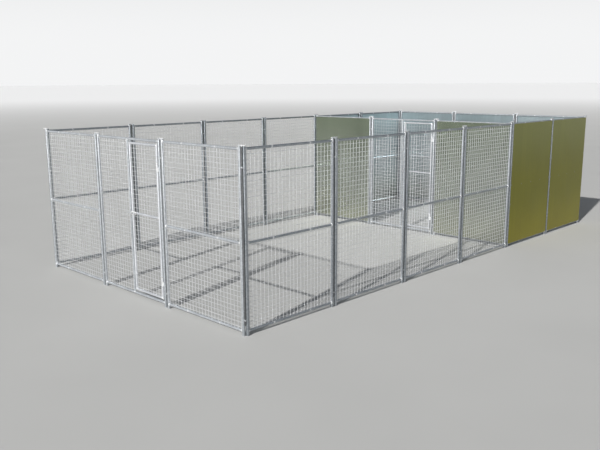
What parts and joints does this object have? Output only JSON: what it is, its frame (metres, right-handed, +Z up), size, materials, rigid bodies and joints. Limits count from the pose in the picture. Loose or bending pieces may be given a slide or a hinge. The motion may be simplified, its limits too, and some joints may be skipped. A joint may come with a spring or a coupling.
{
  "type": "dog kennel run",
  "caption": "Modular galvanised dog kennel run of welded tube panels, with a mesh run, a sheet-walled yard, hinged gates and slide bolts.",
  "frame": {"origin": "ground level, middle of the plan between the centre lines of the outer walls", "axes": "+Z up, +Y from the front gate wall towards the sheet-walled yard, +X to the right as seen from outside the front gate"},
  "size_m": [3.868, 7.6447, 1.8123],
  "materials": {
    "galvanised_tube": "hot-dip galvanised steel tube and welded wire, dull silver grey",
    "galvanised_leaf_tube": "hot-dip galvanised steel tube and welded wire, dull silver grey",
    "zinc_sheet": "flat zinc-coated sheet steel, softly reflecting",
    "galvanised_rod": "galvanised round bar",
    "plated_pin": "zinc-plated steel pin",
    "plated_bolt": "zinc-plated steel round bar"
  },
  "bodies": {
    "kennel": {"back_sheet_1_frame": "galvanised_tube", "back_sheet_1_skin": "zinc_sheet", "back_sheet_2_frame": "galvanised_tube", "back_sheet_2_skin": "zinc_sheet", "back_sheet_3_frame": "galvanised_tube", "back_sheet_3_skin": "zinc_sheet", "drop_rod_01": "galvanised_rod", "drop_rod_02": "galvanised_rod", "drop_rod_03": "galvanised_rod", "drop_rod_04": "galvanised_rod", "drop_rod_05": "galvanised_rod", "drop_rod_06": "galvanised_rod", "drop_rod_07": "galvanised_rod", "drop_rod_08": "galvanised_rod", "drop_rod_09": "galvanised_rod", "drop_rod_10": "galvanised_rod", "drop_rod_11": "galvanised_rod", "drop_rod_12": "galvanised_rod", "drop_rod_13": "galvanised_rod", "drop_rod_14": "galvanised_rod", "drop_rod_15": "galvanised_rod", "drop_rod_16": "galvanised_rod", "drop_rod_17": "galvanised_rod", "drop_rod_18": "galvanised_rod", "drop_rod_19": "galvanised_rod", "drop_rod_20": "galvanised_rod", "front_gate_frame": "galvanised_tube", "front_gate_lower_hinge_pin": "plated_pin", "front_gate_upper_hinge_pin": "plated_pin", "front_mesh_1_frame": "galvanised_tube", "front_mesh_3_frame": "galvanised_tube", "left_mesh_3_frame": "galvanised_tube", "left_mesh_4_frame": "galvanised_tube", "left_mesh_5_frame": "galvanised_tube", "left_mesh_6_frame": "galvanised_tube", "left_sheet_1_frame": "galvanised_tube", "left_sheet_1_skin": "zinc_sheet", "left_sheet_2_frame": "galvanised_tube", "left_sheet_2_skin": "zinc_sheet", "partition_gate_frame": "galvanised_tube", "partition_gate_lower_hinge_pin": "plated_pin", "partition_gate_upper_hinge_pin": "plated_pin", "partition_sheet_1_frame": "galvanised_tube", "partition_sheet_1_skin": "zinc_sheet", "partition_sheet_3_frame": "galvanised_tube", "partition_sheet_3_skin": "zinc_sheet", "right_mesh_1_frame": "galvanised_tube", "right_mesh_2_frame": "galvanised_tube", "right_mesh_3_frame": "galvanised_tube", "right_mesh_4_frame": "galvanised_tube", "right_sheet_5_frame": "galvanised_tube", "right_sheet_5_skin": "zinc_sheet", "right_sheet_6_frame": "galvanised_tube", "right_sheet_6_skin": "zinc_sheet"},
    "front_gate": {"front_gate_leaf": "galvanised_leaf_tube"},
    "front_bolt": {"front_gate_bolt": "plated_bolt"},
    "partition_gate": {"partition_gate_leaf": "galvanised_leaf_tube"},
    "partition_bolt": {"partition_gate_bolt": "plated_bolt"}
  },
  "joints": [
    {"name": "front_gate_hinge", "type": "hinge", "parent": "kennel", "child": "front_gate", "pos_m": [0.57565, -3.78585, 0.28], "axis": [0, 0, 1], "range_deg": [0, 165]},
    {"name": "front_bolt_slide", "type": "slide", "parent": "front_gate", "child": "front_bolt", "axis": [-1, 0, 0], "range_m": [0, 0.03]},
    {"name": "partition_gate_hinge", "type": "hinge", "parent": "kennel", "child": "partition_gate", "pos_m": [0.57565, 1.23815, 0.28], "axis": [0, 0, 1], "range_deg": [0, 165]},
    {"name": "partition_bolt_slide", "type": "slide", "parent": "partition_gate", "child": "partition_bolt", "axis": [-1, 0, 0], "range_m": [0, 0.03]}
  ]
}
